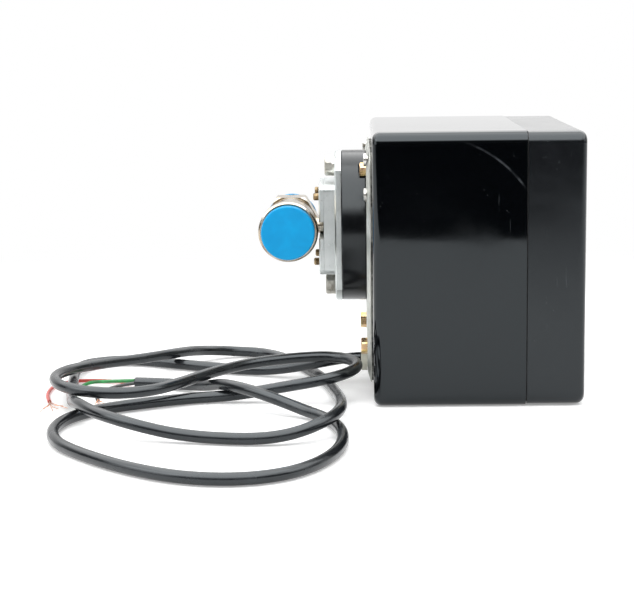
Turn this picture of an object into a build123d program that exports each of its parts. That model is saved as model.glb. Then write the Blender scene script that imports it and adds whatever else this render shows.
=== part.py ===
from build123d import *
import math
import os

# Quarter-turn motorized valve actuator with a ball valve, standing on the housing's lower side.
# +X runs along the drive shaft from the valve to the lid, +Y along the pipe, +Z up, in millimetres.
# The origin is the middle of the actuator and valve on the floor; the cable lies on the same floor.
# In the helpers below, x is measured from the outer face of the housing's back wall.

# --- driving dimensions -------------------------------------------------------------------------
HOUSING_Y = 150.0          # housing size along the pipe
HOUSING_Z = 142.0          # housing height
BODY_LENGTH = 78.5         # housing body, back wall to lid seam
SEAM = 0.6                 # thickness of the lid gasket
LID_LENGTH = 29.9          # lid, seam to outer face
WALL = 4.0                 # housing wall
EDGE_RADIUS = 6.0          # outer edges of housing and lid along the shaft
END_RADIUS = 4.0           # edges around their closed faces
LID_INSET = 0.4            # lid is this much smaller than the body on each side

AXIS_Z = 86.5              # drive shaft axis above the floor
BALL_X = -44.9             # pipe axis, in front of the back wall
HEX_ACROSS = 28.4          # flats of the valve's hexagon, which is the far port's end
COLLAR_D = 32.2            # round collar of the valve's near port
PORT_R = 12.05             # port bore, at the minor diameter of a G 3/4 thread
PORT_DEPTH = 11.0          # length of the threaded bore
PORT_MOUTH_R = 13.4        # lead-in that seats the transport cap
PORT_MOUTH_DEPTH = 4.5
PORT_FACE = {-1: -31.0, 1: 29.0}  # near and far port faces along the pipe
CAP_D = 28.8               # transport cap's head
CAP_HEAD = 5.5             # how far the head stands out of the port

SPACER_D = 83.0            # black spacer disc and the adapter plate on it
SPACER_X = (-16.3, -2.9)
ADAPTER_X = (-19.9, -16.3)
ADAPTER_FLAT = 26.0        # half-width of the adapter plate between its two flats
PAD_X = (-26.0, -19.9)
RETAINER_X = (-28.5, -26.0)
PAD_SIDE = 49.0
PAD_BOLT = 17.7            # half the side of the F05 screw square
STEM_SLOT = 9.0            # width of the open slot that grips the valve's neck
NECK_D = 8.6
STEM_D = 5.5

PLATE_X = (-2.9, -0.8)     # zinc-plated base plate
PLATE_Y = 64.0
PLATE_Z = (9.5, 131.5)
FRAME_BOLTS = [(-40, 26), (40, 26), (-26, 118.7), (26, 118.7)]
FLANGE_BOLT_R = 33.0

FRONT_PLATE_X = (8.0, 11.0)
REAR_PLATE_X = (28.0, 31.0)
SHAFT_R = 6.0
OUTPUT_TEETH = 60
PINION_TEETH = 20
WHEEL_TEETH = 40
MOTOR_TEETH = 20
FINAL_MODULE = 1.0
FIRST_MODULE = 0.8
IDLER_YZ = (24.0, AXIS_Z - 32.0)
IDLER_BORE = 2.54
MOTOR_YZ = (24.0 - 14.4, AXIS_Z - 32.0 - 19.2)
MOTOR_D = 50.0

BOARD_X = (70.0, 71.6)
CABLE_D = 6.0
GLAND_YZ = (-16.0, 15.0)
GLAND_FACE = -6.3          # outer face of the gland, where the cable leaves

OUTER_X = BODY_LENGTH + SEAM + LID_LENGTH
WALL_X = -(OUTER_X + BALL_X - COLLAR_D / 2) / 2  # puts the model's middle at x = 0
STEEL_CLEARANCE = 0.15                           # radial play of a screw in its hole

# Centre line of the free cable, from the gland to the stripped end, in the part's own frame.
CABLE_ROUTE = [
    (-30.3, -16.0, 15.0), (-39.4, -15.4, 14.4), (-49.5, -12.0, 12.0), (-59.0, -6.5, 9.2),
    (-71.0, 0.0, 5.8), (-85.0, 6.5, 3.3), (-99.0, 10.5, 3.1), (-111.0, 15.0, 3.1), (-123.0, 21.0, 3.1),
    (-135.5, 27.0, 3.1), (-147.0, 33.0, 3.1), (-158.0, 38.0, 3.1), (-169.0, 40.0, 3.1),
    (-179.5, 37.0, 3.1), (-187.3, 29.5, 3.6), (-191.0, 18.0, 4.4), (-191.5, 1.0, 5.2),
    (-189.0, -20.0, 5.4), (-186.0, -44.0, 5.4), (-182.5, -66.0, 5.4), (-179.0, -85.0, 6.6),
    (-174.0, -102.0, 10.2), (-163.5, -121.0, 10.2), (-151.0, -134.0, 9.4), (-137.0, -141.0, 7.2),
    (-122.5, -144.5, 4.6), (-108.0, -147.0, 3.2), (-93.0, -150.5, 3.1), (-79.0, -151.5, 3.2),
    (-67.0, -150.5, 4.4), (-56.5, -147.0, 6.6), (-48.0, -139.5, 8.8), (-42.5, -128.0, 9.7),
    (-40.5, -112.0, 9.2), (-41.0, -86.0, 7.0), (-44.0, -56.0, 4.4), (-48.5, -27.0, 3.1),
    (-55.0, -4.0, 3.1), (-62.5, 15.0, 3.1), (-71.0, 35.0, 3.1), (-80.0, 50.0, 3.1), (-91.0, 60.0, 3.1),
    (-103.5, 62.5, 3.3), (-115.5, 58.5, 4.8), (-125.0, 47.5, 7.0), (-132.0, 34.0, 9.2),
    (-140.0, 23.0, 10.0), (-149.5, 14.5, 10.0), (-159.0, 7.0, 10.0), (-168.0, -0.5, 10.4),
    (-176.0, -9.0, 10.9), (-183.5, -18.5, 11.5), (-190.0, -30.0, 12.1), (-194.0, -45.0, 12.6),
    (-192.5, -62.0, 13.0), (-185.5, -78.0, 13.3), (-171.8, -89.0, 12.8), (-154.2, -91.5, 12.2),
    (-137.3, -83.7, 12.0), (-124.9, -65.8, 12.2), (-113.4, -48.5, 12.8), (-101.9, -33.5, 13.2),
    (-89.4, -25.5, 14.2), (-75.4, -22.6, 15.4), (-61.4, -21.8, 16.4), (-47.8, -21.6, 16.8),
    (-36.5, -29.1, 16.6), (-31.6, -41.8, 16.2), (-35.0, -55.0, 15.2), (-45.3, -63.8, 13.6),
    (-59.8, -65.5, 11.2), (-73.5, -63.0, 8.4), (-86.0, -60.0, 5.6), (-98.0, -59.0, 3.7),
    (-109.0, -60.0, 3.1), (-120.0, -63.0, 3.1), (-132.0, -68.0, 3.1), (-145.0, -74.5, 3.1),
    (-158.0, -82.0, 3.1), (-169.0, -92.0, 3.1), (-177.5, -105.0, 3.1), (-181.5, -122.0, 3.1),
    (-180.0, -140.0, 3.1), (-174.0, -157.0, 3.1), (-165.0, -170.0, 3.1), (-154.0, -183.0, 3.1),
    (-141.5, -196.0, 3.1), (-127.0, -208.0, 3.1), (-111.0, -217.5, 3.1), (-94.0, -222.0, 3.1),
    (-77.0, -220.5, 3.1), (-61.5, -212.0, 3.1), (-49.0, -195.0, 3.1), (-41.0, -172.0, 3.1),
    (-39.0, -149.0, 3.1), (-41.5, -128.0, 3.1), (-48.0, -110.0, 3.1), (-58.0, -98.0, 3.8),
    (-68.5, -91.0, 6.4), (-78.0, -86.0, 9.0), (-87.5, -79.0, 10.6), (-96.5, -69.5, 10.8),
    (-104.5, -58.0, 9.6), (-111.5, -46.5, 6.3), (-119.0, -36.5, 4.2), (-129.0, -29.0, 3.2),
    (-141.0, -25.0, 3.1), (-154.5, -23.0, 3.1),
]
CORE_R = 1.0               # insulated conductors beyond the stripped end
CORE_ROUTES = {
    "green": [
        (-155.2, -22.6, 4.2), (-163.0, -20.0, 3.5), (-172.0, -18.5, 2.9), (-180.0, -19.0, 2.9),
        (-184.3, -27.0, 1.9), (-184.8, -39.0, 1.1), (-183.5, -53.0, 1.1), (-180.0, -66.0, 1.1),
        (-176.5, -77.0, 1.1),
    ],
    "red": [
        (-155.0, -21.5, 2.4), (-162.0, -14.5, 1.7), (-170.5, -9.0, 1.1), (-180.5, -6.5, 1.1),
        (-190.0, -7.5, 1.1), (-197.0, -13.0, 1.1), (-200.5, -23.0, 1.1), (-200.6, -36.0, 1.1),
        (-198.8, -49.0, 1.1), (-195.5, -60.0, 1.1),
    ],
    "black": [
        (-155.1, -24.5, 3.1), (-161.0, -27.5, 2.9), (-167.0, -31.5, 2.0), (-171.8, -37.5, 1.2),
        (-173.0, -46.0, 1.1), (-170.5, -56.0, 1.1),
    ],
}
FRAY = {"green": 8.0, "red": 20.0, "black": 7.0}      # length of each conductor's bare strands


# --- helpers -------------------------------------------------------------------------------------
def save(node, *solids):
    """Writes one node; separate pieces stay separate solids."""
    shape = solids[0] if len(solids) == 1 else Compound(children=list(solids))
    export_step(shape, f"parts/{node}.step")


def block(x0, x1, y0, y1, z0, z1):
    """Box between limits, x measured from the back wall."""
    centre = Pos(WALL_X + (x0 + x1) / 2, (y0 + y1) / 2, (z0 + z1) / 2)
    return centre * Box(x1 - x0, y1 - y0, z1 - z0)


def rod(radius, x0, x1, y=0.0, z=AXIS_Z):
    """Cylinder along X."""
    place = Pos(WALL_X + x0, y, z) * Rot(0, 90, 0)
    return place * Cylinder(radius, x1 - x0, align=(Align.CENTER, Align.CENTER, Align.MIN))


def pipe_rod(radius, y0, y1, x=BALL_X, z=AXIS_Z):
    """Cylinder along Y."""
    place = Pos(WALL_X + x, y0, z) * Rot(-90, 0, 0)
    return place * Cylinder(radius, y1 - y0, align=(Align.CENTER, Align.CENTER, Align.MIN))


def ring(outer, inner, x0, x1, y=0.0, z=AXIS_Z):
    """Round ring or sleeve along X."""
    return rod(outer, x0, x1, y, z) - rod(inner, x0 - 1, x1 + 1, y, z)


def hexagon(across, x0, x1, y, z, turn=0.0):
    """Hexagonal prism along X with a corner towards -Y and +Y."""
    outline = RegularPolygon(across / 2, 6, major_radius=False, rotation=90 + turn)
    sketch = Plane(origin=(WALL_X + x0, y, z), x_dir=(0, 1, 0), z_dir=(1, 0, 0)) * outline
    return extrude(sketch, x1 - x0)


def outline_plate(x0, x1, sketch):
    """Plate cut along a sketch drawn in Y and Z, measured from the shaft axis."""
    plane = Plane(origin=(WALL_X + x0, 0, AXIS_Z), x_dir=(0, 1, 0), z_dir=(1, 0, 0))
    return extrude(plane * sketch, x1 - x0)


def four(half_y, half_z=None):
    """Corner positions of a rectangle about the shaft axis, as Y and Z in the part's frame."""
    half_z = half_y if half_z is None else half_z
    return [(y, AXIS_Z + z) for y in (-half_y, half_y) for z in (-half_z, half_z)]


def gear(teeth, module, x0, x1, yz, bore, phase):
    """Spur gear along X with involute flanks; phase turns its first tooth, in degrees."""
    pitch_r = teeth * module / 2
    base_r = pitch_r * math.cos(math.radians(20))
    root_r = pitch_r - 1.25 * module
    tip_r = pitch_r + 0.95 * module
    backlash = 0.06 * module
    half_tooth = math.pi / 2 / teeth - backlash / pitch_r
    start_r = max(base_r, root_r)

    def involute(radius):
        roll = math.sqrt(max(radius ** 2 / base_r ** 2 - 1, 0.0))
        return roll - math.atan(roll)

    def flank(radius):
        return half_tooth + involute(pitch_r) - involute(radius)

    radii = [start_r + (tip_r - start_r) * step / 3 for step in range(4)]
    points = []
    for tooth in range(teeth):
        middle = math.radians(phase) + 2 * math.pi * tooth / teeth
        side = [(r, -flank(r)) for r in radii] + [(r, flank(r)) for r in reversed(radii)]
        if start_r > root_r:
            side = [(root_r, -flank(start_r))] + side + [(root_r, flank(start_r))]
        points += [(r * math.cos(middle + a), r * math.sin(middle + a)) for r, a in side]
    face = make_face(Polyline(*points, close=True))
    plane = Plane(origin=(WALL_X + x0, *yz), x_dir=(0, 1, 0), z_dir=(1, 0, 0))
    blank = extrude(plane * face, x1 - x0)
    return blank - rod(bore, x0 - 1, x1 + 1, *yz)


def screw(radius, head_r, head_h, x_head, x_tip, y, z, socket=0.0):
    """Round-headed screw along X; x_head is the face that the head sits on."""
    away = -1 if x_tip > x_head else 1
    head_end = x_head + away * head_h
    head = rod(head_r, min(x_head, head_end), max(x_head, head_end), y, z)
    edge = head.edges().filter_by(GeomType.CIRCLE).group_by(Axis.X)[0 if away < 0 else -1]
    head = fillet(edge, head_h * 0.35)
    shank = rod(radius, min(x_head, x_tip), max(x_head, x_tip), y, z)
    piece = head + shank
    if socket:
        inner = head_end - away * head_h * 0.55
        piece -= hexagon(socket, min(inner, head_end), max(inner, head_end) + 0.01, y, z)
    return piece


def hex_bolt(radius, across, head_h, washer_r, washer_t, x_seat, x_tip, y, z):
    """Hexagon bolt along +X with a washer under its head, as one fastener and one washer."""
    washer = ring(washer_r, radius, x_seat - washer_t, x_seat, y, z)
    top = x_seat - washer_t - head_h
    head = hexagon(across, top, x_seat - washer_t, y, z)
    crown = rod(across * 0.55, top, x_seat - washer_t, y, z)
    crown = chamfer(crown.edges().filter_by(GeomType.CIRCLE).group_by(Axis.X)[0], 0.7)
    return (head & crown) + rod(radius, x_seat - washer_t, x_tip, y, z), washer


# --- housing -------------------------------------------------------------------------------------
LID_SCREWS = [(y, z) for y in (-65.0, 65.0) for z in (10.0, HOUSING_Z - 10.0)]
SPACER_SCREWS = four(21.0)
PLATE_SCREWS = [(-56.0, 127.0), (56.0, 127.0), (-56.0, 108.8)]


def rounded_shell(x0, x1, inset, open_side):
    """Hollow box open at one end along X, with rounded outer and inner edges."""
    outer = block(x0, x1, inset - HOUSING_Y / 2, HOUSING_Y / 2 - inset, inset, HOUSING_Z - inset)
    outer = fillet(outer.edges().filter_by(Axis.X), EDGE_RADIUS)
    closed_face = outer.faces().sort_by(Axis.X)[0 if open_side > 0 else -1]
    outer = fillet(closed_face.edges(), END_RADIUS)
    half = HOUSING_Y / 2 - inset - WALL
    low, high = inset + WALL, HOUSING_Z - inset - WALL
    hollow_x = (x0 + WALL, x1 + 1) if open_side > 0 else (x0 - 1, x1 - WALL)
    hollow = block(*hollow_x, -half, half, low, high)
    return outer - fillet(hollow.edges().filter_by(Axis.X), EDGE_RADIUS - 3)


def housing_body():
    body = rounded_shell(0, BODY_LENGTH, 0, +1)
    inside = block(WALL, BODY_LENGTH, -HOUSING_Y / 2 + 2, HOUSING_Y / 2 - 2, 2, HOUSING_Z - 2)
    for y, z in LID_SCREWS:
        boss = rod(7.5, WALL, BODY_LENGTH, y, z) & inside
        body += boss
        body -= rod(2.1, BODY_LENGTH - 25, BODY_LENGTH + 1, y, z)
    for y, z in FRAME_BOLTS:
        body += rod(6, WALL, FRONT_PLATE_X[0], y, z)
        body -= rod(2.5 + STEEL_CLEARANCE, -1, FRONT_PLATE_X[0] + 1, y, z)
    for y, z in SPACER_SCREWS:
        body += rod(5, WALL, FRONT_PLATE_X[0], y, z)
        body -= rod(2 + STEEL_CLEARANCE, -1, FRONT_PLATE_X[0] + 1, y, z)
    for y, z in PLATE_SCREWS:
        body += rod(5, WALL, 9, y, z)
        body -= rod(2 + STEEL_CLEARANCE, -1, 8, y, z)
    body -= rod(9.2, -1, FRONT_PLATE_X[0] + 1)
    body -= rod(5.7, -1, FRONT_PLATE_X[0] + 1, *GLAND_YZ)
    return body


def housing_lid():
    start = BODY_LENGTH + SEAM
    lid = rounded_shell(start, OUTER_X, LID_INSET, -1)
    half = HOUSING_Y / 2 - LID_INSET - 2
    inside = block(start, OUTER_X - WALL, -half, half, 2.4, HOUSING_Z - 2.4)
    for y, z in LID_SCREWS:
        lid += rod(7.5, start, OUTER_X - WALL, y, z) & inside
        lid -= rod(2 + STEEL_CLEARANCE, start - 1, OUTER_X + 1, y, z)
        lid -= rod(4.0, OUTER_X - 4.6, OUTER_X + 1, y, z)
    return lid


def lid_gasket():
    half_y, high = HOUSING_Y / 2 - 1.6, HOUSING_Z - 1.6
    outer = block(BODY_LENGTH, BODY_LENGTH + SEAM, -half_y, half_y, 1.6, high)
    outer = fillet(outer.edges().filter_by(Axis.X), 5)
    inner = block(BODY_LENGTH - 1, BODY_LENGTH + 1 + SEAM, 2 - half_y, half_y - 2, 3.6, high - 2)
    return outer - fillet(inner.edges().filter_by(Axis.X), 3)


def lid_screws():
    seat = OUTER_X - 4.6
    return [screw(2, 3.5, 4.0, seat, BODY_LENGTH - 14, y, z, socket=3) for y, z in LID_SCREWS]


# --- base plate and flange stack -----------------------------------------------------------------
def plate_holes(x0, x1):
    """Tools that cut the base plate and its gasket."""
    holes = [rod(9.2, x0, x1), rod(5.7, x0, x1, *GLAND_YZ)]
    holes += [rod(2.5 + STEEL_CLEARANCE, x0, x1, y, z) for y, z in FRAME_BOLTS]
    holes += [rod(2 + STEEL_CLEARANCE, x0, x1, y, z) for y, z in SPACER_SCREWS]
    holes += [rod(2 + STEEL_CLEARANCE, x0, x1, y, z) for y, z in PLATE_SCREWS]
    return holes


def base_plate():
    plate = block(*PLATE_X, -PLATE_Y, PLATE_Y, *PLATE_Z)
    plate = fillet(plate.edges().filter_by(Axis.X), 9)
    front = plate.faces().sort_by(Axis.X)[0]
    plate = chamfer(front.edges(), 5.5, 1.6, reference=front)
    for hole in plate_holes(PLATE_X[0] - 1, PLATE_X[1] + 1):
        plate -= hole
    return plate


def base_gasket():
    sheet = block(PLATE_X[1], 0, 1 - PLATE_Y, PLATE_Y - 1, PLATE_Z[0] + 1, PLATE_Z[1] - 1)
    sheet = fillet(sheet.edges().filter_by(Axis.X), 8)
    for hole in plate_holes(PLATE_X[1] - 1, 1):
        sheet -= hole
    return sheet


def spacer_flange():
    disc = rod(SPACER_D / 2, *SPACER_X)
    disc = chamfer(disc.edges().filter_by(GeomType.CIRCLE), 0.6)
    disc -= rod(9, SPACER_X[0] - 1, SPACER_X[1] + 1)
    for y, z in FRAME_BOLTS[2:]:
        disc -= rod(5.4, SPACER_X[1] - 4.1, SPACER_X[1] + 1, y, z)
    for y, z in SPACER_SCREWS:
        disc -= rod(2 + STEEL_CLEARANCE, SPACER_X[0] - 1, SPACER_X[1] + 1, y, z)
        disc -= rod(3.8, SPACER_X[0] - 1, SPACER_X[0] + 4.4, y, z)
    for z in (AXIS_Z - FLANGE_BOLT_R, AXIS_Z + FLANGE_BOLT_R):
        disc -= rod(3.05, SPACER_X[0] - 1, SPACER_X[0] + 11.6, 0, z)
    return disc


def adapter_plate():
    outline = Circle(SPACER_D / 2) & Rectangle(2 * ADAPTER_FLAT, 2 * SPACER_D)
    plate = outline_plate(*ADAPTER_X, outline)
    plate = chamfer(plate.faces().sort_by(Axis.X)[0].edges(), 0.8)
    plate -= rod(7, ADAPTER_X[0] - 1, ADAPTER_X[1] + 1)
    for z in (AXIS_Z - FLANGE_BOLT_R, AXIS_Z + FLANGE_BOLT_R):
        plate -= rod(3.2, ADAPTER_X[0] - 1, ADAPTER_X[1] + 1, 0, z)
    for y, z in four(PAD_BOLT):
        plate -= rod(2 + STEEL_CLEARANCE, ADAPTER_X[0] - 1, ADAPTER_X[1] + 1, y, z)
        plate -= rod(3.7, ADAPTER_X[1] - 2.4, ADAPTER_X[1] + 1, y, z)
    return plate


def square_plate(x0, x1, edge):
    plate = outline_plate(x0, x1, RectangleRounded(PAD_SIDE, PAD_SIDE, 3.5))
    plate = fillet(plate.faces().sort_by(Axis.X)[0].edges(), edge)
    for y, z in four(PAD_BOLT):
        plate -= rod(2 + STEEL_CLEARANCE, x0 - 1, x1 + 1, y, z)
    return plate


def valve_pad_plate():
    plate = square_plate(*PAD_X, 0.3)
    plate -= rod(9.3, PAD_X[0] - 1, PAD_X[0] + 3.4)
    return plate - rod(7, PAD_X[0] - 1, PAD_X[1] + 1)


def retaining_plate():
    plate = square_plate(*RETAINER_X, 0.9)
    plate -= rod(STEM_SLOT / 2, RETAINER_X[0] - 1, RETAINER_X[1] + 1)
    low, high = AXIS_Z - STEM_SLOT / 2, AXIS_Z + STEM_SLOT / 2
    return plate - block(RETAINER_X[0] - 1, RETAINER_X[1] + 1, -PAD_SIDE, 0, low, high)


def flange_bolts():
    """Two M6 bolts with washers that hold the adapter plate on the spacer."""
    bolts, washers = [], []
    for z in (AXIS_Z - FLANGE_BOLT_R, AXIS_Z + FLANGE_BOLT_R):
        bolt, washer = hex_bolt(3, 10, 4.1, 5.6, 1.5, ADAPTER_X[0], -5.2, 0, z)
        bolts.append(bolt)
        washers.append(washer)
    return bolts, washers


def pad_screws():
    """Four M4 screws through the adapter and pad plates, threaded through the retaining plate."""
    seat = ADAPTER_X[1] - 2.4
    screws = []
    for y, z in four(PAD_BOLT):
        piece = rod(3.6, seat, ADAPTER_X[1], y, z) - hexagon(2.5, seat + 1, ADAPTER_X[1] + 1, y, z)
        shank = rod(2, RETAINER_X[0] - 3.0, seat, y, z)
        tip = shank.edges().filter_by(GeomType.CIRCLE).group_by(Axis.X)[0]
        screws.append(piece + chamfer(tip, 0.5))
    return screws


def spacer_screws():
    seat = SPACER_X[0] + 4.4
    return [screw(2, 3.5, 4.0, seat, FRONT_PLATE_X[1] + 1.5, y, z, socket=3) for y, z in SPACER_SCREWS]


def base_plate_screws():
    """Two pan-head screws at the plate's corners and the earth screw below one of them."""
    return [screw(2, 3.4, 1.5, PLATE_X[0], 7, y, z) for y, z in PLATE_SCREWS]


def frame_bolts():
    """Four M5 bolts that clamp the base plate, the back wall and the gear frame together."""
    bolts = []
    for y, z in FRAME_BOLTS:
        head = hexagon(8, PLATE_X[0] - 3.4, PLATE_X[0], y, z)
        crown = rod(4.45, PLATE_X[0] - 3.4, PLATE_X[0], y, z)
        crown = chamfer(crown.edges().filter_by(GeomType.CIRCLE).group_by(Axis.X)[0], 0.5)
        bolts.append((head & crown) + rod(2.5, PLATE_X[0], REAR_PLATE_X[1] + 5.5, y, z))
    return bolts


def frame_nuts():
    x0 = REAR_PLATE_X[1]
    return [hexagon(8, x0, x0 + 4, y, z) - rod(2.5, x0 - 1, x0 + 5, y, z) for y, z in FRAME_BOLTS]


# --- ball valve ----------------------------------------------------------------------------------
CHAMBER_R = 11.6
BALL_R = 11.2
SEAT_Y = 7.4               # the seats start this far from the ball's centre
END_THREAD_R = 12.2


def port_bore(side):
    """Bore and mouth of one port; side is -1 near and +1 far."""
    face = PORT_FACE[side]
    mouth = sorted((face, face - side * PORT_MOUTH_DEPTH))
    thread = sorted((face, face - side * (PORT_MOUTH_DEPTH + PORT_DEPTH)))
    return pipe_rod(PORT_MOUTH_R, *mouth) + pipe_rod(PORT_R, *thread)


def valve_body():
    """Near port, ball chamber and neck, in one casting."""
    body = pipe_rod(COLLAR_D / 2, PORT_FACE[-1], -22)
    body = chamfer(body.edges().filter_by(GeomType.CIRCLE), 0.8)
    body += pipe_rod(13.4, -22.5, -17)
    chamber = pipe_rod(14, -17.5, 12.0)
    body += chamfer(chamber.edges().filter_by(GeomType.CIRCLE), 1.2)
    body += rod(NECK_D / 2, BALL_X + 12, PAD_X[0] + 0.2)
    body += rod(9, PAD_X[0] + 0.2, PAD_X[0] + 3.2)
    body -= port_bore(-1)
    body -= pipe_rod(7.5, -18, 0)
    body -= pipe_rod(CHAMBER_R, -SEAT_Y - 4, 5)
    body -= pipe_rod(END_THREAD_R, 4, 13)
    body -= rod(STEM_D / 2 + 0.05, BALL_X, PAD_X[0] + 4)
    return body - rod(4.1, BALL_X + 10, BALL_X + 13.6)


def valve_end():
    """Far port: hexagon connector screwed into the body."""
    outline = RegularPolygon(HEX_ACROSS / 2, 6, major_radius=False, rotation=0)
    plane = Plane(origin=(WALL_X + BALL_X, 12.3, AXIS_Z), x_dir=(1, 0, 0), z_dir=(0, 1, 0))
    end = extrude(plane * outline, PORT_FACE[1] - 12.3)
    round_off = pipe_rod(COLLAR_D / 2, 12.3, PORT_FACE[1])
    end &= chamfer(round_off.edges().filter_by(GeomType.CIRCLE), 1.0)
    end += pipe_rod(END_THREAD_R, SEAT_Y + 3.8, 12.3)
    return end - port_bore(+1) - pipe_rod(7.5, SEAT_Y, 18)


def seat_ring(side):
    """PTFE ring cupped around the ball."""
    y0, y1 = sorted((side * SEAT_Y, side * (SEAT_Y + 3.7)))
    cup = Pos(WALL_X + BALL_X, 0, AXIS_Z) * Sphere(BALL_R + 0.05)
    outer = pipe_rod(CHAMBER_R if side < 0 else END_THREAD_R - 0.1, y0, y1)
    return outer - pipe_rod(7.5, y0 - 1, y1 + 1) - cup


def valve_ball():
    ball = Pos(WALL_X + BALL_X, 0, AXIS_Z) * Sphere(BALL_R)
    ball -= pipe_rod(7.5, -BALL_R, BALL_R)
    return ball - block(BALL_X + 9, BALL_X + 13, -BALL_R, BALL_R, AXIS_Z - 1.6, AXIS_Z + 1.6)


def valve_stem():
    """Stem with a tang in the ball's slot, an anti-blowout collar and a square end."""
    tang = block(BALL_X + 9.2, BALL_X + 12.0, -3.6, 3.6, AXIS_Z - 1.55, AXIS_Z + 1.55)
    stem = tang & rod(3.6, BALL_X + 9, BALL_X + 13)
    stem += rod(4.0, BALL_X + 12.0, BALL_X + 13.4)
    stem += rod(STEM_D / 2, BALL_X + 13.4, PAD_X[1] + 0.5)
    for x in (-30.4, -25.2):
        stem -= ring(4, 2.0, x, x + 1.6)
    return stem + block(PAD_X[1] + 0.5, -8, -1.9, 1.9, AXIS_Z - 1.9, AXIS_Z + 1.9)


def stem_o_rings():
    return [ring(STEM_D / 2 + 0.04, 2.0, x + 0.1, x + 1.5) for x in (-30.4, -25.2)]


def port_cap(side):
    """Push-in transport cap: a hollow head and a thin plug."""
    face = PORT_FACE[side]
    head = pipe_rod(CAP_D / 2, *sorted((face + side * 0.3, face + side * CAP_HEAD)))
    outer = head.edges().filter_by(GeomType.CIRCLE).group_by(Axis.Y)[0 if side < 0 else -1]
    cap = fillet(outer, 0.8)
    cap += pipe_rod(13.0, *sorted((face - side * 3.9, face + side * 0.3)))
    return cap - pipe_rod(11.8, *sorted((face - side * 5, face + side * (CAP_HEAD - 2))))


# --- drive shaft and gears -----------------------------------------------------------------------
def drive_shaft():
    shaft = rod(SHAFT_R, -14, 60)
    socket = 1.95
    shaft -= block(-15, -6, -socket, socket, AXIS_Z - socket, AXIS_Z + socket)
    for x in (12.2, 57.0):
        shaft -= ring(7, 5.4, x, x + 1.0)
    return shaft


def shaft_clips():
    """Retaining rings in the shaft's two grooves."""
    clips = []
    for x in (12.2, 57.0):
        clip = ring(8, 5.4, x + 0.05, x + 0.95)
        clips.append(clip - block(x - 1, x + 2, -1.5, 1.5, AXIS_Z, AXIS_Z + 9))
    return clips


def output_gear():
    wheel = gear(OUTPUT_TEETH, FINAL_MODULE, 14, 20, (0, AXIS_Z), SHAFT_R, 0)
    return wheel + ring(11, SHAFT_R, 20, 25) - rod(2.5, 15, 21, *on_stop_circle(STOP_START))


STOP_R = 24.0
STOP_GAP = 13.0            # degrees between the stop pin and a post at a limit
STOP_START = 60.0          # the pin's angle at rest, from +Y towards +Z


def on_stop_circle(degrees):
    angle = math.radians(degrees)
    return STOP_R * math.cos(angle), AXIS_Z + STOP_R * math.sin(angle)


def stop_pin():
    return rod(2.5, 15, 26, *on_stop_circle(STOP_START))


def stop_posts():
    angles = (STOP_START - STOP_GAP, STOP_START + 90 + STOP_GAP)
    return [rod(2.5, 21.5, REAR_PLATE_X[1], *on_stop_circle(angle)) for angle in angles]


def toward(origin, target):
    """Angle from one gear centre to another, in degrees from +Y towards +Z."""
    return math.degrees(math.atan2(target[1] - origin[1], target[0] - origin[0]))


def meshed_phase(own, other, own_teeth, other_teeth, other_phase):
    """Phase that puts a gap of this gear where the other gear has a tooth on the centre line."""
    line = toward(other, own)
    offset = (line - other_phase) % (360 / other_teeth)
    return toward(own, other) + 180 / own_teeth + offset * other_teeth / own_teeth


OUTPUT_YZ = (0.0, AXIS_Z)
PINION_PHASE = meshed_phase(IDLER_YZ, OUTPUT_YZ, PINION_TEETH, OUTPUT_TEETH, 0)
MOTOR_PHASE = meshed_phase(MOTOR_YZ, IDLER_YZ, MOTOR_TEETH, WHEEL_TEETH, 0)


def idler_gear():
    """Compound gear: the pinion that turns the output gear, and the wheel the motor turns."""
    pinion = gear(PINION_TEETH, FINAL_MODULE, 13, 21, IDLER_YZ, IDLER_BORE, PINION_PHASE)
    return pinion + gear(WHEEL_TEETH, FIRST_MODULE, 21, 25, IDLER_YZ, IDLER_BORE, 0)


def idler_axle():
    return rod(2.5, 8.5, 30.5, *IDLER_YZ)


def motor_pinion():
    """Pinion cut on the end of the motor's shaft."""
    pinion = gear(MOTOR_TEETH, FIRST_MODULE, 20.6, 25.6, MOTOR_YZ, 2.0, MOTOR_PHASE)
    return pinion + rod(2.5, 20.2, 44, *MOTOR_YZ)


# --- gear frame and motor ------------------------------------------------------------------------
def front_gear_plate():
    plate = block(*FRONT_PLATE_X, -54, 54, 18, 130)
    plate = fillet(plate.edges().filter_by(Axis.X), 5)
    plate -= rod(9.2, *FRONT_PLATE_X)
    plate -= rod(2.55, *FRONT_PLATE_X, *IDLER_YZ)
    for y, z in FRAME_BOLTS:
        plate -= rod(2.5 + STEEL_CLEARANCE, *FRONT_PLATE_X, y, z)
    for y, z in SPACER_SCREWS:
        plate -= rod(2 + STEEL_CLEARANCE, *FRONT_PLATE_X, y, z)
    corner = block(*FRONT_PLATE_X, -60, -47, 100, 131) + block(*FRONT_PLATE_X, 47, 60, 100, 131)
    return plate - corner


MOTOR_SCREWS = [(MOTOR_YZ[0] - 29.5, MOTOR_YZ[1]), (MOTOR_YZ[0] + 29.5, MOTOR_YZ[1])]
BOARD_POSTS = [(y, z) for y in (-48.0, 48.0) for z in (68.0, 124.0)]


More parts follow.
